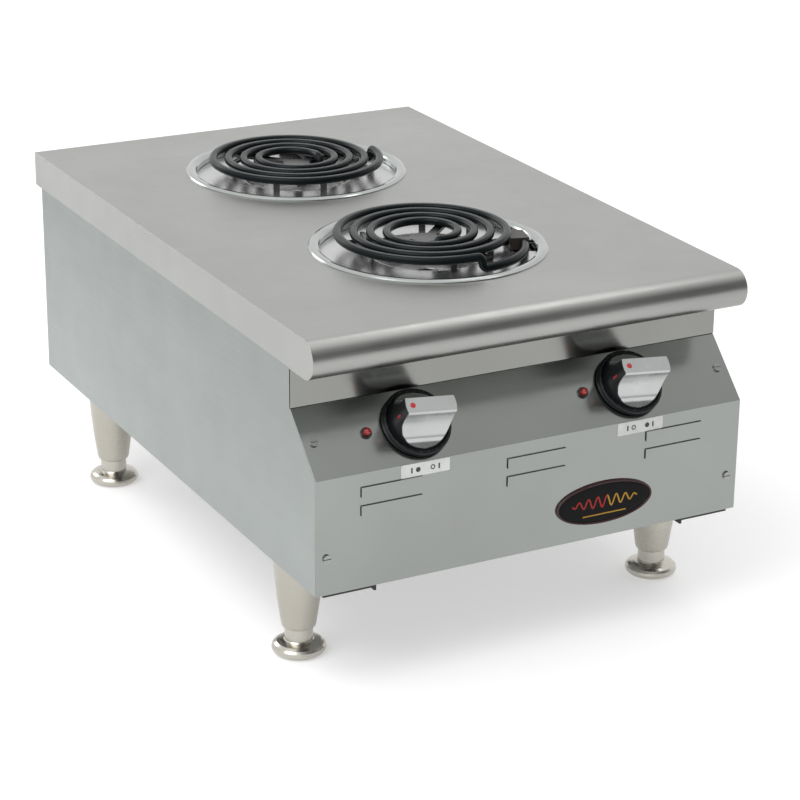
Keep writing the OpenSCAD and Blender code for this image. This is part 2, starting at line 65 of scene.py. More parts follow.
NODES = frame["nodes"]
NODE_SLOT = {part["node"]: part["material_slot"] for part in RECORD["subparts"]}
JOINTS = {joint["name"]: joint for joint in RECORD["behaviour"]["joints"]}
MIDDLE = (CAD_BOX[0] + CAD_BOX[1]) / 2
FULL_TURN = 2 * math.pi
RIGHT_ANGLE = math.pi / 2


# ---- camera ----

AZIMUTH, ELEVATION, ROLL = (math.radians(a) for a in (-29.12, 21.32, 1.0))
CAMERA_FROM_MIDDLE = Vector((-1.1438, -2.2123, 0.9203))
SENSOR_MM = 36
LENS_MM = 115.6
SHIFT_X, SHIFT_Y = -0.0545, 0.0107
NEAREST, FARTHEST = 0.05, 60


def make_camera():
    level = math.cos(ELEVATION)
    back = Vector((math.sin(AZIMUTH) * level, -math.cos(AZIMUTH) * level, math.sin(ELEVATION)))
    right = Vector((0, 0, 1)).cross(back).normalized()
    up = back.cross(right)
    x_axis = math.cos(ROLL) * right + math.sin(ROLL) * up
    y_axis = -math.sin(ROLL) * right + math.cos(ROLL) * up
    data = bpy.data.cameras.new("camera")
    data.sensor_width = SENSOR_MM
    data.lens = LENS_MM
    data.shift_x = SHIFT_X
    data.shift_y = SHIFT_Y
    data.clip_start = NEAREST
    data.clip_end = FARTHEST
    camera = bpy.data.objects.new("camera", data)
    SCENE.collection.objects.link(camera)
    turn = Matrix((x_axis, y_axis, back)).transposed().to_4x4()
    camera.matrix_world = Matrix.Translation(MIDDLE + CAMERA_FROM_MIDDLE) @ turn
    SCENE.camera = camera


make_camera()


# ---- node helpers ----

# most of a noise's values lie between these, and spread() maps them to its own low and high
NOISE_LOW, NOISE_HIGH = 0.3, 0.7


class Graph:
    """A small wrapper that adds and joins shader nodes."""

    def __init__(self, tree):
        self.tree = tree
        self.nodes = tree.nodes

    def put(self, socket, value):
        if isinstance(value, bpy.types.NodeSocket):
            self.tree.links.new(value, socket)
        else:
            socket.default_value = value

    def add(self, kind, **inputs):
        node = self.nodes.new(kind)
        for name, value in inputs.items():
            self.put(node.inputs[name], value)
        return node

    def math(self, operation, a, b):
        node = self.nodes.new("ShaderNodeMath")
        node.operation = operation
        self.put(node.inputs[0], a)
        self.put(node.inputs[1], b)
        return node.outputs[0]

    def scaled(self, vector, scale):
        node = self.nodes.new("ShaderNodeMapping")
        self.put(node.inputs["Vector"], vector)
        node.inputs["Scale"].default_value = scale
        return node.outputs[0]

    def noise(self, vector, scale, detail, rough):
        node = self.add("ShaderNodeTexNoise", Vector=vector, Scale=scale, Detail=detail, Roughness=rough)
        return node.outputs["Fac"]

    def mapped(self, value, start, end, low, high, easing="LINEAR"):
        """The value as it goes from start to end, moved to go from low to high."""
        node = self.nodes.new("ShaderNodeMapRange")
        node.interpolation_type = easing
        self.put(node.inputs["Value"], value)
        for name, number in (("From Min", start), ("From Max", end), ("To Min", low), ("To Max", high)):
            node.inputs[name].default_value = number
        return node.outputs[0]

    def spread(self, noise, low, high):
        return self.mapped(noise, NOISE_LOW, NOISE_HIGH, low, high)

    def mixed(self, factor, a, b):
        node = self.nodes.new("ShaderNodeMix")
        node.data_type = "RGBA"
        self.put(node.inputs["Factor"], factor)
        self.put(node.inputs[6], a)
        self.put(node.inputs[7], b)
        return node.outputs[2]


MATERIALS = {}


def new_material(name):
    """A named material, and what its nodes start from: graph, shader and place on the object."""
    material = bpy.data.materials.new(name)
    material.use_nodes = True
    MATERIALS[name] = material
    graph = Graph(material.node_tree)
    shader = graph.nodes["Principled BSDF"]
    place = graph.nodes.new("ShaderNodeTexCoord").outputs["Object"]
    return graph, shader, place


def rgb(colour, gain=1.0):
    return tuple(min(1.0, c * gain) for c in colour) + (1.0,)


# ---- materials ----

GRAIN_PER_METRE = 2200
GRAIN_STRENGTH = 0.2
GRAIN_DEPTH = 0.00001
# how far smudges take the roughness down and up
SMUDGE_SMOOTH, SMUDGE_ROUGH = 0.03, 0.04
# painted shade: the height above the counter where a steel starts to darken towards its top, and the height
# over which it does
PAINTED_SHADE_FROM = 0.12
PAINTED_SHADE_REACH = 0.17


def brushed(name, colour, rough, grain, streak=0.05, tone=0.06, top_shade_gain=1.0):
    """Brushed metal, streaked along the axis of the smallest grain. Its gain at the top darkens it towards
    the deck as painted shade.
    """
    graph, shader, place = new_material(name)
    stretched = graph.scaled(place, tuple(v * GRAIN_PER_METRE for v in grain))
    lines = graph.noise(stretched, scale=1.0, detail=3.0, rough=0.6)
    cloud = graph.noise(place, scale=5.0, detail=3.0, rough=0.55)
    smudge = graph.noise(place, scale=22.0, detail=4.0, rough=0.6)
    tint = graph.mixed(graph.spread(cloud, 0, 1), rgb(colour, 1 - tone), rgb(colour, 1 + tone))
    # painted shade: higher up, the colour darkens to its top gain, standing in for the dimmer floor that
    # the upper part reflects
    if top_shade_gain < 1:
        split = graph.nodes.new("ShaderNodeSeparateXYZ")
        graph.put(split.inputs[0], place)
        above = graph.math("SUBTRACT", split.outputs[2], PAINTED_SHADE_FROM)
        height = graph.math("MULTIPLY", above, 1 / PAINTED_SHADE_REACH)
        height.node.use_clamp = True
        tint = graph.mixed(height, tint, rgb(colour, top_shade_gain))
    graph.put(shader.inputs["Base Color"], tint)
    shader.inputs["Metallic"].default_value = 1.0
    streaks = graph.spread(lines, rough - streak, rough + streak)
    smudges = graph.spread(smudge, -SMUDGE_SMOOTH, SMUDGE_ROUGH)
    graph.put(shader.inputs["Roughness"], graph.math("ADD", streaks, smudges))
    ridge = graph.add("ShaderNodeBump", Height=lines, Strength=GRAIN_STRENGTH, Distance=GRAIN_DEPTH)
    graph.put(shader.inputs["Normal"], ridge.outputs[0])


# how dark and light smears are, how far they take the roughness down and up, and how deep they are
SMEAR_DARK, SMEAR_LIGHT = 0.93, 1.04
SMEAR_SMOOTH, SMEAR_ROUGH = 0.03, 0.05
SMEAR_DEPTH = 0.0004
SPECK_ROUGH = 0.02


def chromed(name, colour, rough, metallic=1.0, bump=0.1, specular=0.5):
    """Plated or baked metal with faint smears. bump is how wavy its reflections are."""
    graph, shader, place = new_material(name)
    smear = graph.noise(place, scale=30.0, detail=4.0, rough=0.6)
    fine = graph.noise(place, scale=900.0, detail=2.0, rough=0.5)
    tint = graph.mixed(graph.spread(smear, 0, 1), rgb(colour, SMEAR_DARK), rgb(colour, SMEAR_LIGHT))
    graph.put(shader.inputs["Base Color"], tint)
    shader.inputs["Metallic"].default_value = metallic
    shader.inputs["Specular IOR Level"].default_value = specular
    smears = graph.spread(smear, rough - SMEAR_SMOOTH, rough + SMEAR_ROUGH)
    specks = graph.spread(fine, 0.0, SPECK_ROUGH)
    graph.put(shader.inputs["Roughness"], graph.math("ADD", smears, specks))
    wave = graph.add("ShaderNodeBump", Height=smear, Strength=bump, Distance=SMEAR_DEPTH)
    graph.put(shader.inputs["Normal"], wave.outputs[0])


# the same for the clouds in a moulded surface, and its pits and coat
CLOUD_DARK, CLOUD_LIGHT = 0.85, 1.15
CLOUD_SMOOTH, CLOUD_ROUGH = 0.05, 0.07
PIT_DEPTH = 0.00008
COAT_ROUGH = 0.08


def moulded(name, colour, rough, coat=0.0, bump=0.15, specular=0.5):
    """Plastic, paint or cloth sleeve with a fine pitted surface."""
    graph, shader, place = new_material(name)
    grain = graph.noise(place, scale=1400.0, detail=2.0, rough=0.5)
    cloud = graph.noise(place, scale=40.0, detail=3.0, rough=0.6)
    tint = graph.mixed(graph.spread(cloud, 0, 1), rgb(colour, CLOUD_DARK), rgb(colour, CLOUD_LIGHT))
    graph.put(shader.inputs["Base Color"], tint)
    clouds = graph.spread(cloud, rough - CLOUD_SMOOTH, rough + CLOUD_ROUGH)
    graph.put(shader.inputs["Roughness"], clouds)
    shader.inputs["Specular IOR Level"].default_value = specular
    shader.inputs["Coat Weight"].default_value = coat
    shader.inputs["Coat Roughness"].default_value = COAT_ROUGH
    pit = graph.add("ShaderNodeBump", Height=grain, Strength=bump, Distance=PIT_DEPTH)
    graph.put(shader.inputs["Normal"], pit.outputs[0])


# how fine the grain is along x, y and z, as a part of GRAIN_PER_METRE
ACROSS = (0.008, 1, 1)
ALONG = (1, 0.008, 1)
UPRIGHT = (1, 1, 0.03)
EVERY_WAY = (1, 1, 1)

# deck, side, strip and front are one stainless steel; strip_steel and front_steel get darker colours as
# painted shade, for the shadow under the nose and the darker room that they reflect
brushed("deck_steel", (0.365, 0.37, 0.355), 0.33, ACROSS)
brushed("side_steel", (0.345, 0.37, 0.36), 0.36, ALONG, top_shade_gain=0.8)
brushed("strip_steel", (0.275, 0.28, 0.265), 0.17, ACROSS, streak=0.03)
brushed("front_steel", (0.31, 0.325, 0.31), 0.19, ACROSS, streak=0.03)
chromed("chrome_trim", (0.44, 0.46, 0.45), 0.16)
chromed("chrome_pan", (0.56, 0.565, 0.56), 0.22, metallic=0.92)
brushed("inner_steel", (0.42, 0.43, 0.42), 0.42, ACROSS, tone=0.15)
# rail_steel's near-black colour is painted shade, standing in for the shadow in the gap under the front
# panel
moulded("rail_steel", (0.02, 0.022, 0.02), 0.6)
brushed("fastener_steel", (0.34, 0.35, 0.34), 0.3, EVERY_WAY)
moulded("badge_black", (0.003, 0.003, 0.004), 0.3, specular=0.12)
moulded("badge_red", (0.03, 0.005, 0.006), 0.3)
moulded("badge_amber", (0.36, 0.20, 0.02), 0.4, specular=0.2)
moulded("badge_warm", (0.30, 0.02, 0.015), 0.4, specular=0.2)
moulded("label_white", (0.62, 0.63, 0.61), 0.45)
moulded("label_ink", (0.035, 0.035, 0.04), 0.5)
moulded("bezel_black", (0.012, 0.012, 0.012), 0.3, coat=0.3)
moulded("lamp_red", (0.30, 0.014, 0.010), 0.15, coat=0.6)
moulded("switch_phenolic", (0.10, 0.06, 0.04), 0.5)
moulded("dial_black", (0.004, 0.005, 0.006), 0.3, specular=0.3)
moulded("dial_mark", (0.06, 0.063, 0.063), 0.5)
moulded("grip_black", (0.006, 0.007, 0.008), 0.35, specular=0.35)
moulded("pointer_red", (0.45, 0.015, 0.02), 0.35, coat=0.3)
chromed("grip_chrome", (0.52, 0.535, 0.53), 0.22, metallic=0.9, bump=0.0)
chromed("coil_sheath", (0.008, 0.011, 0.012), 0.27, metallic=0.4, bump=0.3, specular=0.16)
chromed("spider_steel", (0.12, 0.12, 0.12), 0.3)
moulded("receptacle_brown", (0.035, 0.027, 0.022), 0.45)
moulded("terminal_black", (0.03, 0.03, 0.03), 0.5)
brushed("lug_brass", (0.70, 0.52, 0.24), 0.3, EVERY_WAY)
moulded("wire_glass", (0.70, 0.69, 0.64), 0.8, bump=0.8)
moulded("wire_red", (0.32, 0.04, 0.03), 0.45)
brushed("leg_nickel", (0.47, 0.45, 0.40), 0.3, UPRIGHT)
brushed("foot_nickel", (0.52, 0.50, 0.45), 0.24, UPRIGHT)

for node, obj in NODES.items():
    obj.data.materials.clear()
    obj.data.materials.append(MATERIALS[NODE_SLOT[node]])


# ---- softened edges on the folded and cast CAD parts ----

# the width of the softened edge, and the nodes that get it
EDGE_WIDTHS = {
    0.0010: ["top_panel"],
    0.0004: ["side_panel_left", "side_panel_right", "control_panel", "front_strip", "base_pan",
             "leg_rail_left", "leg_rail_right", "coil_spider_front", "coil_spider_rear",
             "control_panel_screws", "back_panel_screws", "pivot_bracket_front", "pivot_bracket_rear"],
    0.0008: ["receptacle_front", "receptacle_rear"],
}
EDGE_SEGMENTS = 2
EDGE_ANGLE = math.radians(32)
WELD_GAP = 1e-6
FLAT_FACE_WEIGHT = 100


def soften(obj, width):
    weld = obj.modifiers.new("weld", "WELD")
    weld.merge_threshold = WELD_GAP
    bevel = obj.modifiers.new("edges", "BEVEL")
    bevel.width = width
    bevel.segments = EDGE_SEGMENTS
    bevel.limit_method = "ANGLE"
    bevel.angle_limit = EDGE_ANGLE
    normals = obj.modifiers.new("normals", "WEIGHTED_NORMAL")
    normals.mode = "FACE_AREA"
    normals.weight = FLAT_FACE_WEIGHT


for width, softened in EDGE_WIDTHS.items():
    for node in softened:
        soften(NODES[node], width)


# ---- mesh builders ----

# a radius below this is a point on the axis
POLE_R = 1e-9
OVAL_SEGMENTS = 144


def polar(radius, angle, z=0.0):
    return Vector((radius * math.cos(angle), radius * math.sin(angle), z))


def rectangle(left, bottom, right, top):
    return [(left, bottom), (right, bottom), (right, top), (left, top)]


def bridge(shape, rings, closed_path=False):
    """Faces between successive rings of vertices. A ring of one vertex is a pole."""
    pairs = list(zip(rings, rings[1:] + rings[:1])) if closed_path else list(zip(rings, rings[1:]))
    for low, high in pairs:
        count = max(len(low), len(high))
        for i in range(count):
            j = (i + 1) % count
            if len(low) == 1:
                shape.faces.new((low[0], high[j], high[i]))
            elif len(high) == 1:
                shape.faces.new((low[i], low[j], high[0]))
            else:
                shape.faces.new((low[i], low[j], high[j], high[i]))


def capped(shape, rings):
    """A bridge over the rings, with a flat face on the first and on the last."""
    bridge(shape, rings)
    shape.faces.new(rings[0])
    shape.faces.new(rings[-1])


def lathe(shape, place, profile, segments):
    """A closed outline of (radius, height) turned about the local z axis."""
    rings = []
    for radius, z in profile:
        count = segments if radius > POLE_R else 1
        spots = [polar(radius, FULL_TURN * i / segments, z) for i in range(count)]
        rings.append([shape.verts.new(place @ spot) for spot in spots])
    bridge(shape, rings, closed_path=profile[0][0] > POLE_R)


def oval(shape, place, half, rows, closed_path=False):
    """Rings on an ellipse. Each row is (distance in from its outline, z), and half[1] in is the middle."""
    rings = []
    for inset, z in rows:
        if inset >= half[1]:
            rings.append([shape.verts.new(place @ Vector((0, 0, z)))])
            continue
        ring = []
        for i in range(OVAL_SEGMENTS):
            angle = FULL_TURN * i / OVAL_SEGMENTS
            spot = Vector(((half[0] - inset) * math.cos(angle), (half[1] - inset) * math.sin(angle), z))
            ring.append(shape.verts.new(place @ spot))
        rings.append(ring)
    bridge(shape, rings, closed_path)


def sweep(shape, path, section):
    """A tube with flat caps along path. section(i) gives the ring's (side, up) offsets at point i."""
    up = Vector((0, 0, 1))
    rings = []
    tangent = None
    for i, point in enumerate(path):
        ahead = (path[min(i + 1, len(path) - 1)] - path[max(i - 1, 0)]).normalized()
        if tangent is not None:
            up = tangent.rotation_difference(ahead) @ up
        tangent = ahead
        up = (up - up.dot(tangent) * tangent).normalized()
        side = tangent.cross(up)
        rings.append([shape.verts.new(point + x * side + y * up) for x, y in section(i)])
    capped(shape, rings)


def slab(shape, place, outline, low, high):
    """A flat plate with the outline's points, from low to high along the local z axis."""
    capped(shape, [[shape.verts.new(place @ Vector((x, y, z))) for x, y in outline] for z in (low, high)])


def piece(name, shape, material, body, replaced=(), sharp=40):
    """A visible object from the shape. Edges over sharp degrees stay crisp."""
    bmesh.ops.recalc_face_normals(shape, faces=shape.faces)
    mesh = bpy.data.meshes.new(name)
    shape.to_mesh(mesh)
    shape.free()
    for face in mesh.polygons:
        face.use_smooth = True
    mesh.set_sharp_from_angle(angle=math.radians(sharp))
    mesh.materials.append(MATERIALS[material])
    obj = bpy.data.objects.new(name, mesh)
    SCENE.collection.objects.link(obj)
    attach(obj, body)
    if replaced:
        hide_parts(*replaced)


# ---- coils ----

TUBE_R = 0.0042
TUBE_SIDES = 20
# how much of the tube's radius is pressed flat on top, and over how many points that comes and goes
TUBE_FLAT = 0.2
FLAT_EASE = 5
# the coil's outer radius at the tube's centre line, its pitch, and that line's height above the deck
COIL_R = 0.0883
COIL_PITCH = 0.016
COIL_LIFT = 0.013
HALF_TURNS = 8
START_TURN = math.radians(-72)
# each end of the coil bends down and runs level under it to the receptacle
LEAD_BEND = 0.006
LEAD_ARC_R = 0.078
LEAD_ARC = math.radians(66.5)
LEAD_IN = math.radians(15.3)
# how far the receptacle's face is from the burner's middle, and what the tube leaves free before it
RECEPTACLE_X = 0.079
RECEPTACLE_GAP = 0.0014
LEAD_STEPS = 20
BEND_STEPS = 6
TURN_STEPS = 36
RUN_STEPS = 12
DECK_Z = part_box("top_panel")[1].z


def burner_place(end):
    """The frame of one burner: its middle at deck height, turned towards its receptacle."""
    low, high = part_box("trim_ring_" + end)
    axis = JOINTS[end + "_element_tilt"]["axis"]
    middle = (low + high) / 2
    turn = math.atan2(-axis[0], axis[1])
    return Matrix.Translation((middle.x, middle.y, DECK_Z)) @ Matrix.Rotation(turn, 4, "Z")


def arc(middle, a_axis, b_axis, radius, start, end, steps):
    """Points on a circle in the plane of two axes."""
    angles = [start + (end - start) * i / steps for i in range(steps + 1)]
    return [middle + radius * (math.cos(a) * a_axis + math.sin(a) * b_axis) for a in angles]


def coil_path():
    """The tube's centre line from one receptacle hole to the other, and which points are on the turns."""
    x_axis, y_axis, z_axis = Vector((1, 0, 0)), Vector((0, 1, 0)), Vector((0, 0, 1))
    low = -2 * LEAD_BEND
    lead = Vector((COIL_R - LEAD_ARC_R, 2 * LEAD_BEND, low))
    path = arc(lead, x_axis, y_axis, LEAD_ARC_R, LEAD_ARC, 0, LEAD_STEPS)
    foot = Vector((COIL_R, 2 * LEAD_BEND, -LEAD_BEND))
    path += arc(foot, -y_axis, -z_axis, LEAD_BEND, RIGHT_ANGLE, 0, BEND_STEPS)[1:]
    path += arc(Vector((COIL_R, 0, -LEAD_BEND)), y_axis, z_axis, LEAD_BEND, 0, RIGHT_ANGLE, BEND_STEPS)[1:]
    first = len(path)
    for i in range(HALF_TURNS):
        middle = Vector((0 if i % 2 == 0 else -COIL_PITCH / 2, 0, 0))
        start = 0 if i % 2 == 0 else math.pi
        radius = COIL_R - i * COIL_PITCH / 2
        path += arc(middle, x_axis, y_axis, radius, start, start - math.pi, TURN_STEPS)[1:]
    last = len(path)
    inner = Vector((COIL_R - HALF_TURNS * COIL_PITCH / 2, 0, -LEAD_BEND))
    path += arc(inner, -y_axis, z_axis, LEAD_BEND, RIGHT_ANGLE, 0, BEND_STEPS)[1:]
    turned = Matrix.Rotation(START_TURN, 3, "Z")
    path = [turned @ point for point in path]
    heading = polar(1, LEAD_IN)
    elbow = path[-1] + LEAD_BEND * heading
    path += arc(elbow, -heading, -z_axis, LEAD_BEND, 0, RIGHT_ANGLE, BEND_STEPS)[1:]
    reach = (RECEPTACLE_X - path[-1].x) / math.cos(LEAD_IN) - RECEPTACLE_GAP
    path += [path[-1] + heading * reach * i / RUN_STEPS for i in range(1, RUN_STEPS + 1)]
    return path, first, last


def tube_ring(flatness):
    """The tube's round section, with its top cut flat by up to TUBE_FLAT of its radius."""
    ring = [polar(TUBE_R, FULL_TURN * (i + 0.5) / TUBE_SIDES) for i in range(TUBE_SIDES)]
    return [(v.x, min(v.y, TUBE_R * (1 - TUBE_FLAT * flatness))) for v in ring]


def make_coil(end):
    path, first, last = coil_path()

    def section(i):
        return tube_ring(max(0.0, min(1.0, (i - first) / FLAT_EASE, (last - i) / FLAT_EASE)))

    shape = bmesh.new()
    sweep(shape, path, section)
    place = burner_place(end) @ Matrix.Translation((0, 0, COIL_LIFT))
    bmesh.ops.transform(shape, matrix=place, verts=shape.verts)
    node = "heating_coil_" + end
    piece("coil_" + end, shape, "coil_sheath", end + "_element", [node], sharp=60)


for end in ("front", "rear"):
    make_coil(end)


# ---- knobs ----

# the grip: a wall that tapers from its foot to its top, with a bar across it
GRIP_R = 0.028
GRIP_TOP_R = 0.025
GRIP_H = 0.0425
GRIP_FOOT = 0.0074
GRIP_TURN = math.radians(-6)
# half of the line across the bar, as (side, height) from the wall to the flat top
GRIP_HALF = [(0.0279, 0.0080), (0.0264, 0.0086), (0.0250, 0.0091), (0.0236, 0.0096), (0.0222, 0.0103),
             (0.0210, 0.0112), (0.0202, 0.0122), (0.0194, 0.0129), (0.0182, 0.0136), (0.0170, 0.0145),
             (0.0159, 0.0156), (0.0149, 0.0170), (0.0139, 0.0187), (0.0128, 0.0205), (0.0115, 0.0228),
             (0.0106, 0.0252), (0.0099, 0.0280), (0.0093, 0.0310), (0.0088, 0.0340), (0.0084, 0.0370),
             (0.0083, 0.0395), (0.0081, 0.0412), (0.0075, 0.0420), (0.0072, GRIP_H), (0.0040, GRIP_H),
             (0, GRIP_H)]
# the bright cap on the bar: its thickness, its sink into the core, and its distance from the wall
CAP_T = 0.0006
CAP_SINK = 0.0001
CAP_INSET = 0.0003
# the least square of a half chord, for a point on the wall itself
LEAST_SQUARE = 1e-10

DIAL_R = 0.0332
DIAL_HOLE_R = 0.0032
DIAL_HUB_R = 0.0095
DIAL_HUB_Z = 0.0037
DIAL_UNDER_Z = 0.005
DIAL_FACE_Z = 0.0073
DIAL_SEGMENTS = 128
DIAL_HUB = [(DIAL_HOLE_R, DIAL_FACE_Z), (DIAL_HOLE_R, DIAL_HUB_Z), (DIAL_HUB_R, DIAL_HUB_Z),
            (DIAL_HUB_R, DIAL_UNDER_Z)]
# the dial's raised rim as (distance in from DIAL_R, height), from its underside round to its inner side
DIAL_RIM = [(0.0032, DIAL_UNDER_Z), (0.0018, 0.0014), (0.0013, 0.001), (0.0004, 0.001), (0, 0.0015),
            (0.0001, 0.0058), (0.0005, 0.0069), (0.0013, 0.0075), (0.0022, 0.0076), (0.0029, 0.0076),
            (0.0034, DIAL_FACE_Z), (0.0038, 0.0069)]
# the shallow groove between the rim and the grip
DIAL_SEAM = [(GRIP_R + 0.0006, 0.0068), (GRIP_R + 0.0003, DIAL_FACE_Z)]
# ticks on the rim, each as (distance of its inner end from DIAL_R, half its width)
TICK_STEPS = 20
TICK_SPAN = math.radians(300)
LONG_TICK = (0.0029, 0.0004)
SHORT_TICK = (0.0026, 0.00025)
LONG_EVERY = 5
TICK_OUTER = 0.0016
TICK_LOW, TICK_HIGH = 0.00745, 0.00765

# the red pointer: a dot on the bar's top and a stripe below it, on the wall
DOT_X = -0.0180
DOT_SEGMENTS = 40
DOT_PROFILE = [(0, -0.0004), (0.0026, -0.0004), (0.0026, 0.0001), (0.0022, 0.00025), (0, 0.0003)]
STRIPE_Y, STRIPE_Z = -0.003, 0.026
STRIPE_OUTLINE = rectangle(-0.0035, -0.0008, 0.0035, 0.0008)
STRIPE_LOW, STRIPE_HIGH = -0.0008, 0.0003


def control_place(side):
    """The frame of one knob: x along the panel, y up the slope, z out of it."""
    joint = JOINTS[side + "_knob_turn"]
    return Matrix.Translation(joint["pos_m"]) @ Matrix.Rotation(math.pi / 4, 4, "X")


def grip_place(side):
    """The knob's frame, turned so that x runs along the bar."""
    return control_place(side) @ Matrix.Rotation(GRIP_TURN, 4, "Z")


def inward(line, depth):
    """The line moved in by depth, square to itself."""
    moved = []
    for i, point in enumerate(line):
        ahead = Vector(line[min(i + 1, len(line) - 1)]) - Vector(line[max(i - 1, 0)])
        ahead.normalize()
        moved.append((max(0.0, point[0] - depth * abs(ahead.y)), point[1] - depth * abs(ahead.x)))
    return moved


def wall_r(z):
    """The tapered wall's radius at one height."""
    return GRIP_R + (GRIP_TOP_R - GRIP_R) * (z - GRIP_FOOT) / (GRIP_H - GRIP_FOOT)


def chord(y, z, inset):
    """How far x reaches at one side and height, inset from the wall."""
    return math.sqrt(max((wall_r(z) - inset) ** 2 - y * y, LEAST_SQUARE))


def mirrored(line):
    return [(-y, z) for y, z in line] + [(y, z) for y, z in reversed(line[:-1])]


def across_bar(place, tops, lows, inset):
    """A solid from an upper to a lower line across the bar, as long as the wall lets each point be."""
    shape = bmesh.new()
    rings = []
    for top, low in zip(tops, lows):
        x, low_x = chord(*top, inset), chord(*low, inset)
        spots = [(x, *top), (-x, *top), (-low_x, *low), (low_x, *low)]
        rings.append([shape.verts.new(place @ Vector(spot)) for spot in spots])
    capped(shape, rings)
    return shape


def make_grip(side):
    """The black core and the bright cap over it."""
    place = grip_place(side)
    body = side + "_knob"
    tops = mirrored(inward(GRIP_HALF, CAP_T))
    shape = across_bar(place, tops, [(y, GRIP_FOOT) for y, z in tops], 0)
    piece("grip_core_" + side, shape, "grip_black", body, ["knob_grip_" + side])
    shape = across_bar(place, mirrored(GRIP_HALF), mirrored(inward(GRIP_HALF, CAP_T + CAP_SINK)), CAP_INSET)
    piece("grip_cap_" + side, shape, "grip_chrome", body, ["knob_grip_" + side])


def make_dial(side):
    rim = [(DIAL_R - inset, z) for inset, z in DIAL_RIM]
    shape = bmesh.new()
    lathe(shape, control_place(side), DIAL_HUB + rim + DIAL_SEAM, DIAL_SEGMENTS)
    piece("dial_" + side, shape, "dial_black", side + "_knob", ["knob_dial_" + side])


def make_dial_marks(side):
    """Ticks on the rim, long and short, over a span whose middle is at the left."""
    shape = bmesh.new()
    for i in range(TICK_STEPS + 1):
        depth, half = LONG_TICK if i % LONG_EVERY == 0 else SHORT_TICK
        turn = Matrix.Rotation(math.pi - TICK_SPAN / 2 + TICK_SPAN * i / TICK_STEPS, 4, "Z")
        outline = rectangle(DIAL_R - depth, -half, DIAL_R - TICK_OUTER, half)
        slab(shape, control_place(side) @ turn, outline, TICK_LOW, TICK_HIGH)
    piece("dial_marks_" + side, shape, "dial_mark", side + "_knob")


def make_pointer(side):
    top = grip_place(side) @ Matrix.Translation((DOT_X, 0, GRIP_H))
    shape = bmesh.new()
    lathe(shape, top, DOT_PROFILE, DOT_SEGMENTS)
    wall = grip_place(side) @ Matrix.Translation((-wall_r(STRIPE_Z), STRIPE_Y, STRIPE_Z))
    slab(shape, wall @ Matrix.Rotation(-RIGHT_ANGLE, 4, "Y"), STRIPE_OUTLINE, STRIPE_LOW, STRIPE_HIGH)
    piece("pointer_" + side, shape, "pointer_red", side + "_knob")


for side in ("left", "right"):
    make_dial(side)
    make_dial_marks(side)
    make_grip(side)
    make_pointer(side)


# ---- badge and labels ----

BADGE_EDGE = 0.0024
# each row is the distance in from the oval outline, and the height
EDGE_ROWS = [(0, 0), (0, 0.0014), (0.0004, 0.0021), (0.0011, 0.0024), (0.0018, 0.0022), (0.0023, 0.0016),
             (BADGE_EDGE, 0)]
FACE_TOP = 0.0016
FACE_ROWS = [(0, 0), (0, 0.0012), (0.0006, 0.00135), (0.006, 0.0015), (0.013, FACE_TOP)]
# the wavy line, in two colours, and the bar below it: both are thin ribbons with six sides
WAVE_HALF_L = 0.036
WAVE_Y, WAVE_Z = 0.0012, 0.0017
WAVE_HEIGHT = 0.0055
WAVES = 7
WAVE_STEPS = 168
WARM_STEPS = 90
WAVE_HALF_W = 0.00085
BAR_HALF_L = 0.024
BAR_Y = -0.0115
BAR_STEPS = 12
BAR_HALF_W = 0.0007
RIBBON_HALF_T = 0.0002
RIBBON_SIDES = 6

LABEL_T = 0.0005
LABEL_CORNER = 0.0016
CORNER_STEPS = 6
# the symbol: two burners between two upright strokes, the one on the knob's own side filled
BURNER_X = 0.0075
BURNER_R = 0.0024
BURNER_HOLE_R = 0.0014
BURNER_SEGMENTS = 32
STROKE_X = 0.014
STROKE_HALF_W, STROKE_HALF_H = 0.0008, 0.0026
INK_LOW, INK_HIGH = 0.0004, 0.00058


def front_place(node):
    """The middle of a plate on the upright panel, level with the panel's face: x along, y up, z out."""
    low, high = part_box(node)
    middle = Matrix.Translation(((low.x + high.x) / 2, high.y, (low.z + high.z) / 2))
    return middle @ Matrix.Rotation(RIGHT_ANGLE, 4, "X")


def heat_wave(t):
    """A point of the badge's wavy line, for t from -1 to 1."""
    swell = math.cos(t * math.pi / 2) ** 0.5 if abs(t) < 1 else 0
    return Vector((WAVE_HALF_L * t, WAVE_Y + WAVE_HEIGHT * swell * math.sin(WAVES * math.pi * t), WAVE_Z))


def ribbon(shape, path, half_width):
    angles = [FULL_TURN / RIBBON_SIDES * i for i in range(RIBBON_SIDES)]
    sweep(shape, path, lambda i: [(half_width * math.cos(a), RIBBON_HALF_T * math.sin(a)) for a in angles])


def make_badge():
    low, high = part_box("badge_rim")
    half = ((high.x - low.x) / 2, (high.z - low.z) / 2)
    place = front_place("badge_rim")
    shape = bmesh.new()
    oval(shape, place, half, EDGE_ROWS, closed_path=True)
    piece("badge_edge", shape, "badge_red", "cabinet", ["badge_rim"])
    inner = (half[0] - BADGE_EDGE, half[1] - BADGE_EDGE)
    shape = bmesh.new()
    oval(shape, place, inner, [(inner[1], 0)] + FACE_ROWS + [(inner[1], FACE_TOP)])
    piece("badge_face", shape, "badge_black", "cabinet", ["badge_plate"])
    wave = [heat_wave(2 * i / WAVE_STEPS - 1) for i in range(WAVE_STEPS + 1)]
    bar = [Vector((BAR_HALF_L * (2 * i / BAR_STEPS - 1), BAR_Y, FACE_TOP)) for i in range(BAR_STEPS + 1)]
    shape = bmesh.new()
    ribbon(shape, wave[:WARM_STEPS + 1], WAVE_HALF_W)
    bmesh.ops.transform(shape, matrix=place, verts=shape.verts)
    piece("badge_motif_warm", shape, "badge_warm", "cabinet")
    shape = bmesh.new()
    ribbon(shape, wave[WARM_STEPS:], WAVE_HALF_W)
    ribbon(shape, bar, BAR_HALF_W)
    bmesh.ops.transform(shape, matrix=place, verts=shape.verts)
    piece("badge_motif_hot", shape, "badge_amber", "cabinet")


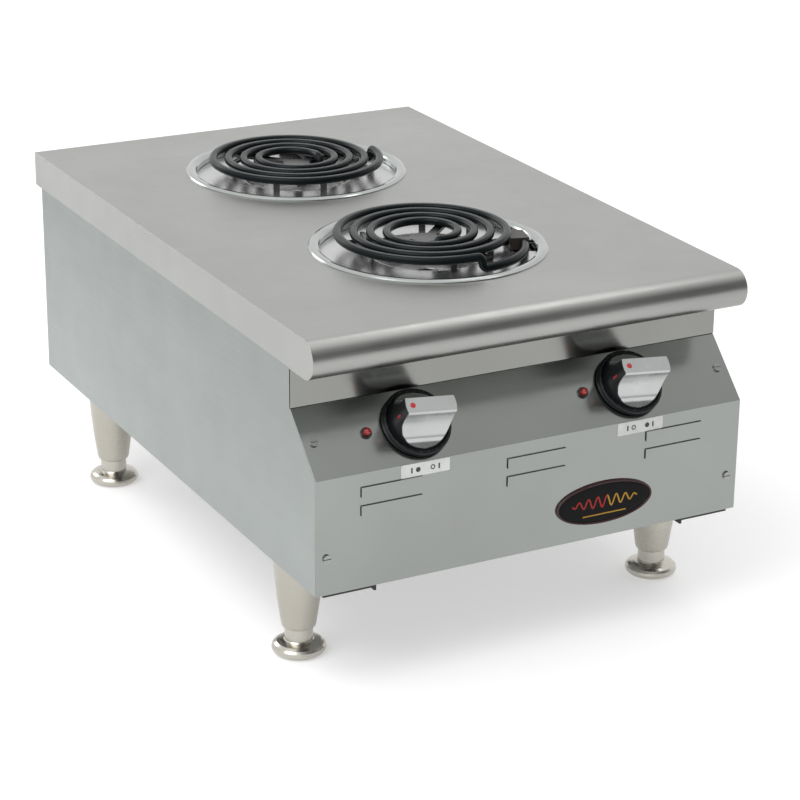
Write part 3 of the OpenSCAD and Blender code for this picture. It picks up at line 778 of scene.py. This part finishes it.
def rounded(half_w, half_h):
    """A rectangle's outline with rounded corners."""
    outline = []
    for sx, sy, start in ((1, 1, 0), (-1, 1, 90), (-1, -1, 180), (1, -1, 270)):
        for i in range(CORNER_STEPS + 1):
            turn = polar(LABEL_CORNER, math.radians(start + 90 * i / CORNER_STEPS))
            outline.append((sx * (half_w - LABEL_CORNER) + turn.x, sy * (half_h - LABEL_CORNER) + turn.y))
    return outline


def make_label(side):
    node = "burner_label_" + side
    low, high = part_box(node)
    place = front_place(node)
    shape = bmesh.new()
    slab(shape, place, rounded((high.x - low.x) / 2, (high.z - low.z) / 2), 0, LABEL_T)
    piece("label_" + side, shape, "label_white", "cabinet", [node])
    filled = {"left": -1, "right": 1}[side]
    shape = bmesh.new()
    for k in (-1, 1):
        hole = 0.0 if k == filled else BURNER_HOLE_R
        profile = [(hole, INK_LOW), (BURNER_R, INK_LOW), (BURNER_R, INK_HIGH), (hole, INK_HIGH)]
        lathe(shape, place @ Matrix.Translation((BURNER_X * k, 0, 0)), profile, BURNER_SEGMENTS)
    for k in (-1, 1):
        x = STROKE_X * k
        outline = rectangle(x - STROKE_HALF_W, -STROKE_HALF_H, x + STROKE_HALF_W, STROKE_HALF_H)
        slab(shape, place, outline, INK_LOW, INK_HIGH)
    piece("label_mark_" + side, shape, "label_ink", "cabinet")


make_badge()
for side in ("left", "right"):
    make_label(side)


# ---- floor and light ----

FLOOR_HALF = 14
FLOOR_GLOW = 0.42
# the white room darkens in front of the object and to its right, by the cosine of the angle from DARK_SIDE
DARK_SIDE = Vector((0.45, -0.86, 0.24)).normalized()
DARK_FROM, DARK_TO = 0.58, 0.95
ROOM_LIGHT, DARK_LIGHT = 1.0, 0.18
# each light's place from the object's middle, its two sides and its power in watts
LIGHTS = {
    "key": ((-1.7, -0.7, 2.4), (2.0, 2.0), 42),
    "overhead": ((0.9, 0.15, 1.8), (1.3, 0.30), 2.6),
    "rim": ((-0.9, 2.0, 1.13), (1.2, 0.6), 9),
}


def make_floor():
    mesh = bpy.data.meshes.new("floor")
    shape = bmesh.new()
    bmesh.ops.create_grid(shape, x_segments=2, y_segments=2, size=FLOOR_HALF)
    shape.to_mesh(mesh)
    shape.free()
    floor = bpy.data.objects.new("floor", mesh)
    SCENE.collection.objects.link(floor)
    graph, shader, place = new_material("floor")
    soft = graph.noise(place, scale=1.5, detail=2.0, rough=0.5)
    graph.put(shader.inputs["Base Color"], graph.mixed(soft, (0.60, 0.60, 0.60, 1), (0.63, 0.63, 0.63, 1)))
    shader.inputs["Roughness"].default_value = 0.9
    shader.inputs["Specular IOR Level"].default_value = 0.1
    shader.inputs["Emission Color"].default_value = (1, 1, 1, 1)
    shader.inputs["Emission Strength"].default_value = FLOOR_GLOW
    mesh.materials.append(MATERIALS["floor"])


def area_light(name, place, size, power):
    """A rectangular light that looks at the object's middle."""
    data = bpy.data.lights.new(name, "AREA")
    data.shape = "RECTANGLE"
    data.size, data.size_y = size
    data.energy = power
    light = bpy.data.objects.new(name, data)
    light.location = MIDDLE + Vector(place)
    light.rotation_euler = (-Vector(place)).to_track_quat("-Z", "Y").to_euler()
    light.visible_camera = False
    SCENE.collection.objects.link(light)


def make_world():
    world = bpy.data.worlds.new("studio")
    SCENE.world = world
    world.use_nodes = True
    graph = Graph(world.node_tree)
    toward = graph.nodes.new("ShaderNodeVectorMath")
    toward.operation = "DOT_PRODUCT"
    graph.put(toward.inputs[0], graph.nodes.new("ShaderNodeTexCoord").outputs["Generated"])
    graph.put(toward.inputs[1], DARK_SIDE)
    shade = graph.mapped(toward.outputs["Value"], DARK_FROM, DARK_TO, ROOM_LIGHT, DARK_LIGHT, "SMOOTHSTEP")
    background = graph.nodes["Background"]
    background.inputs["Color"].default_value = (1, 1, 1, 1)
    graph.put(background.inputs["Strength"], shade)


make_floor()
make_world()
for name, (place, size, power) in LIGHTS.items():
    area_light(name, place, size, power)

SCENE.view_settings.view_transform = "Standard"
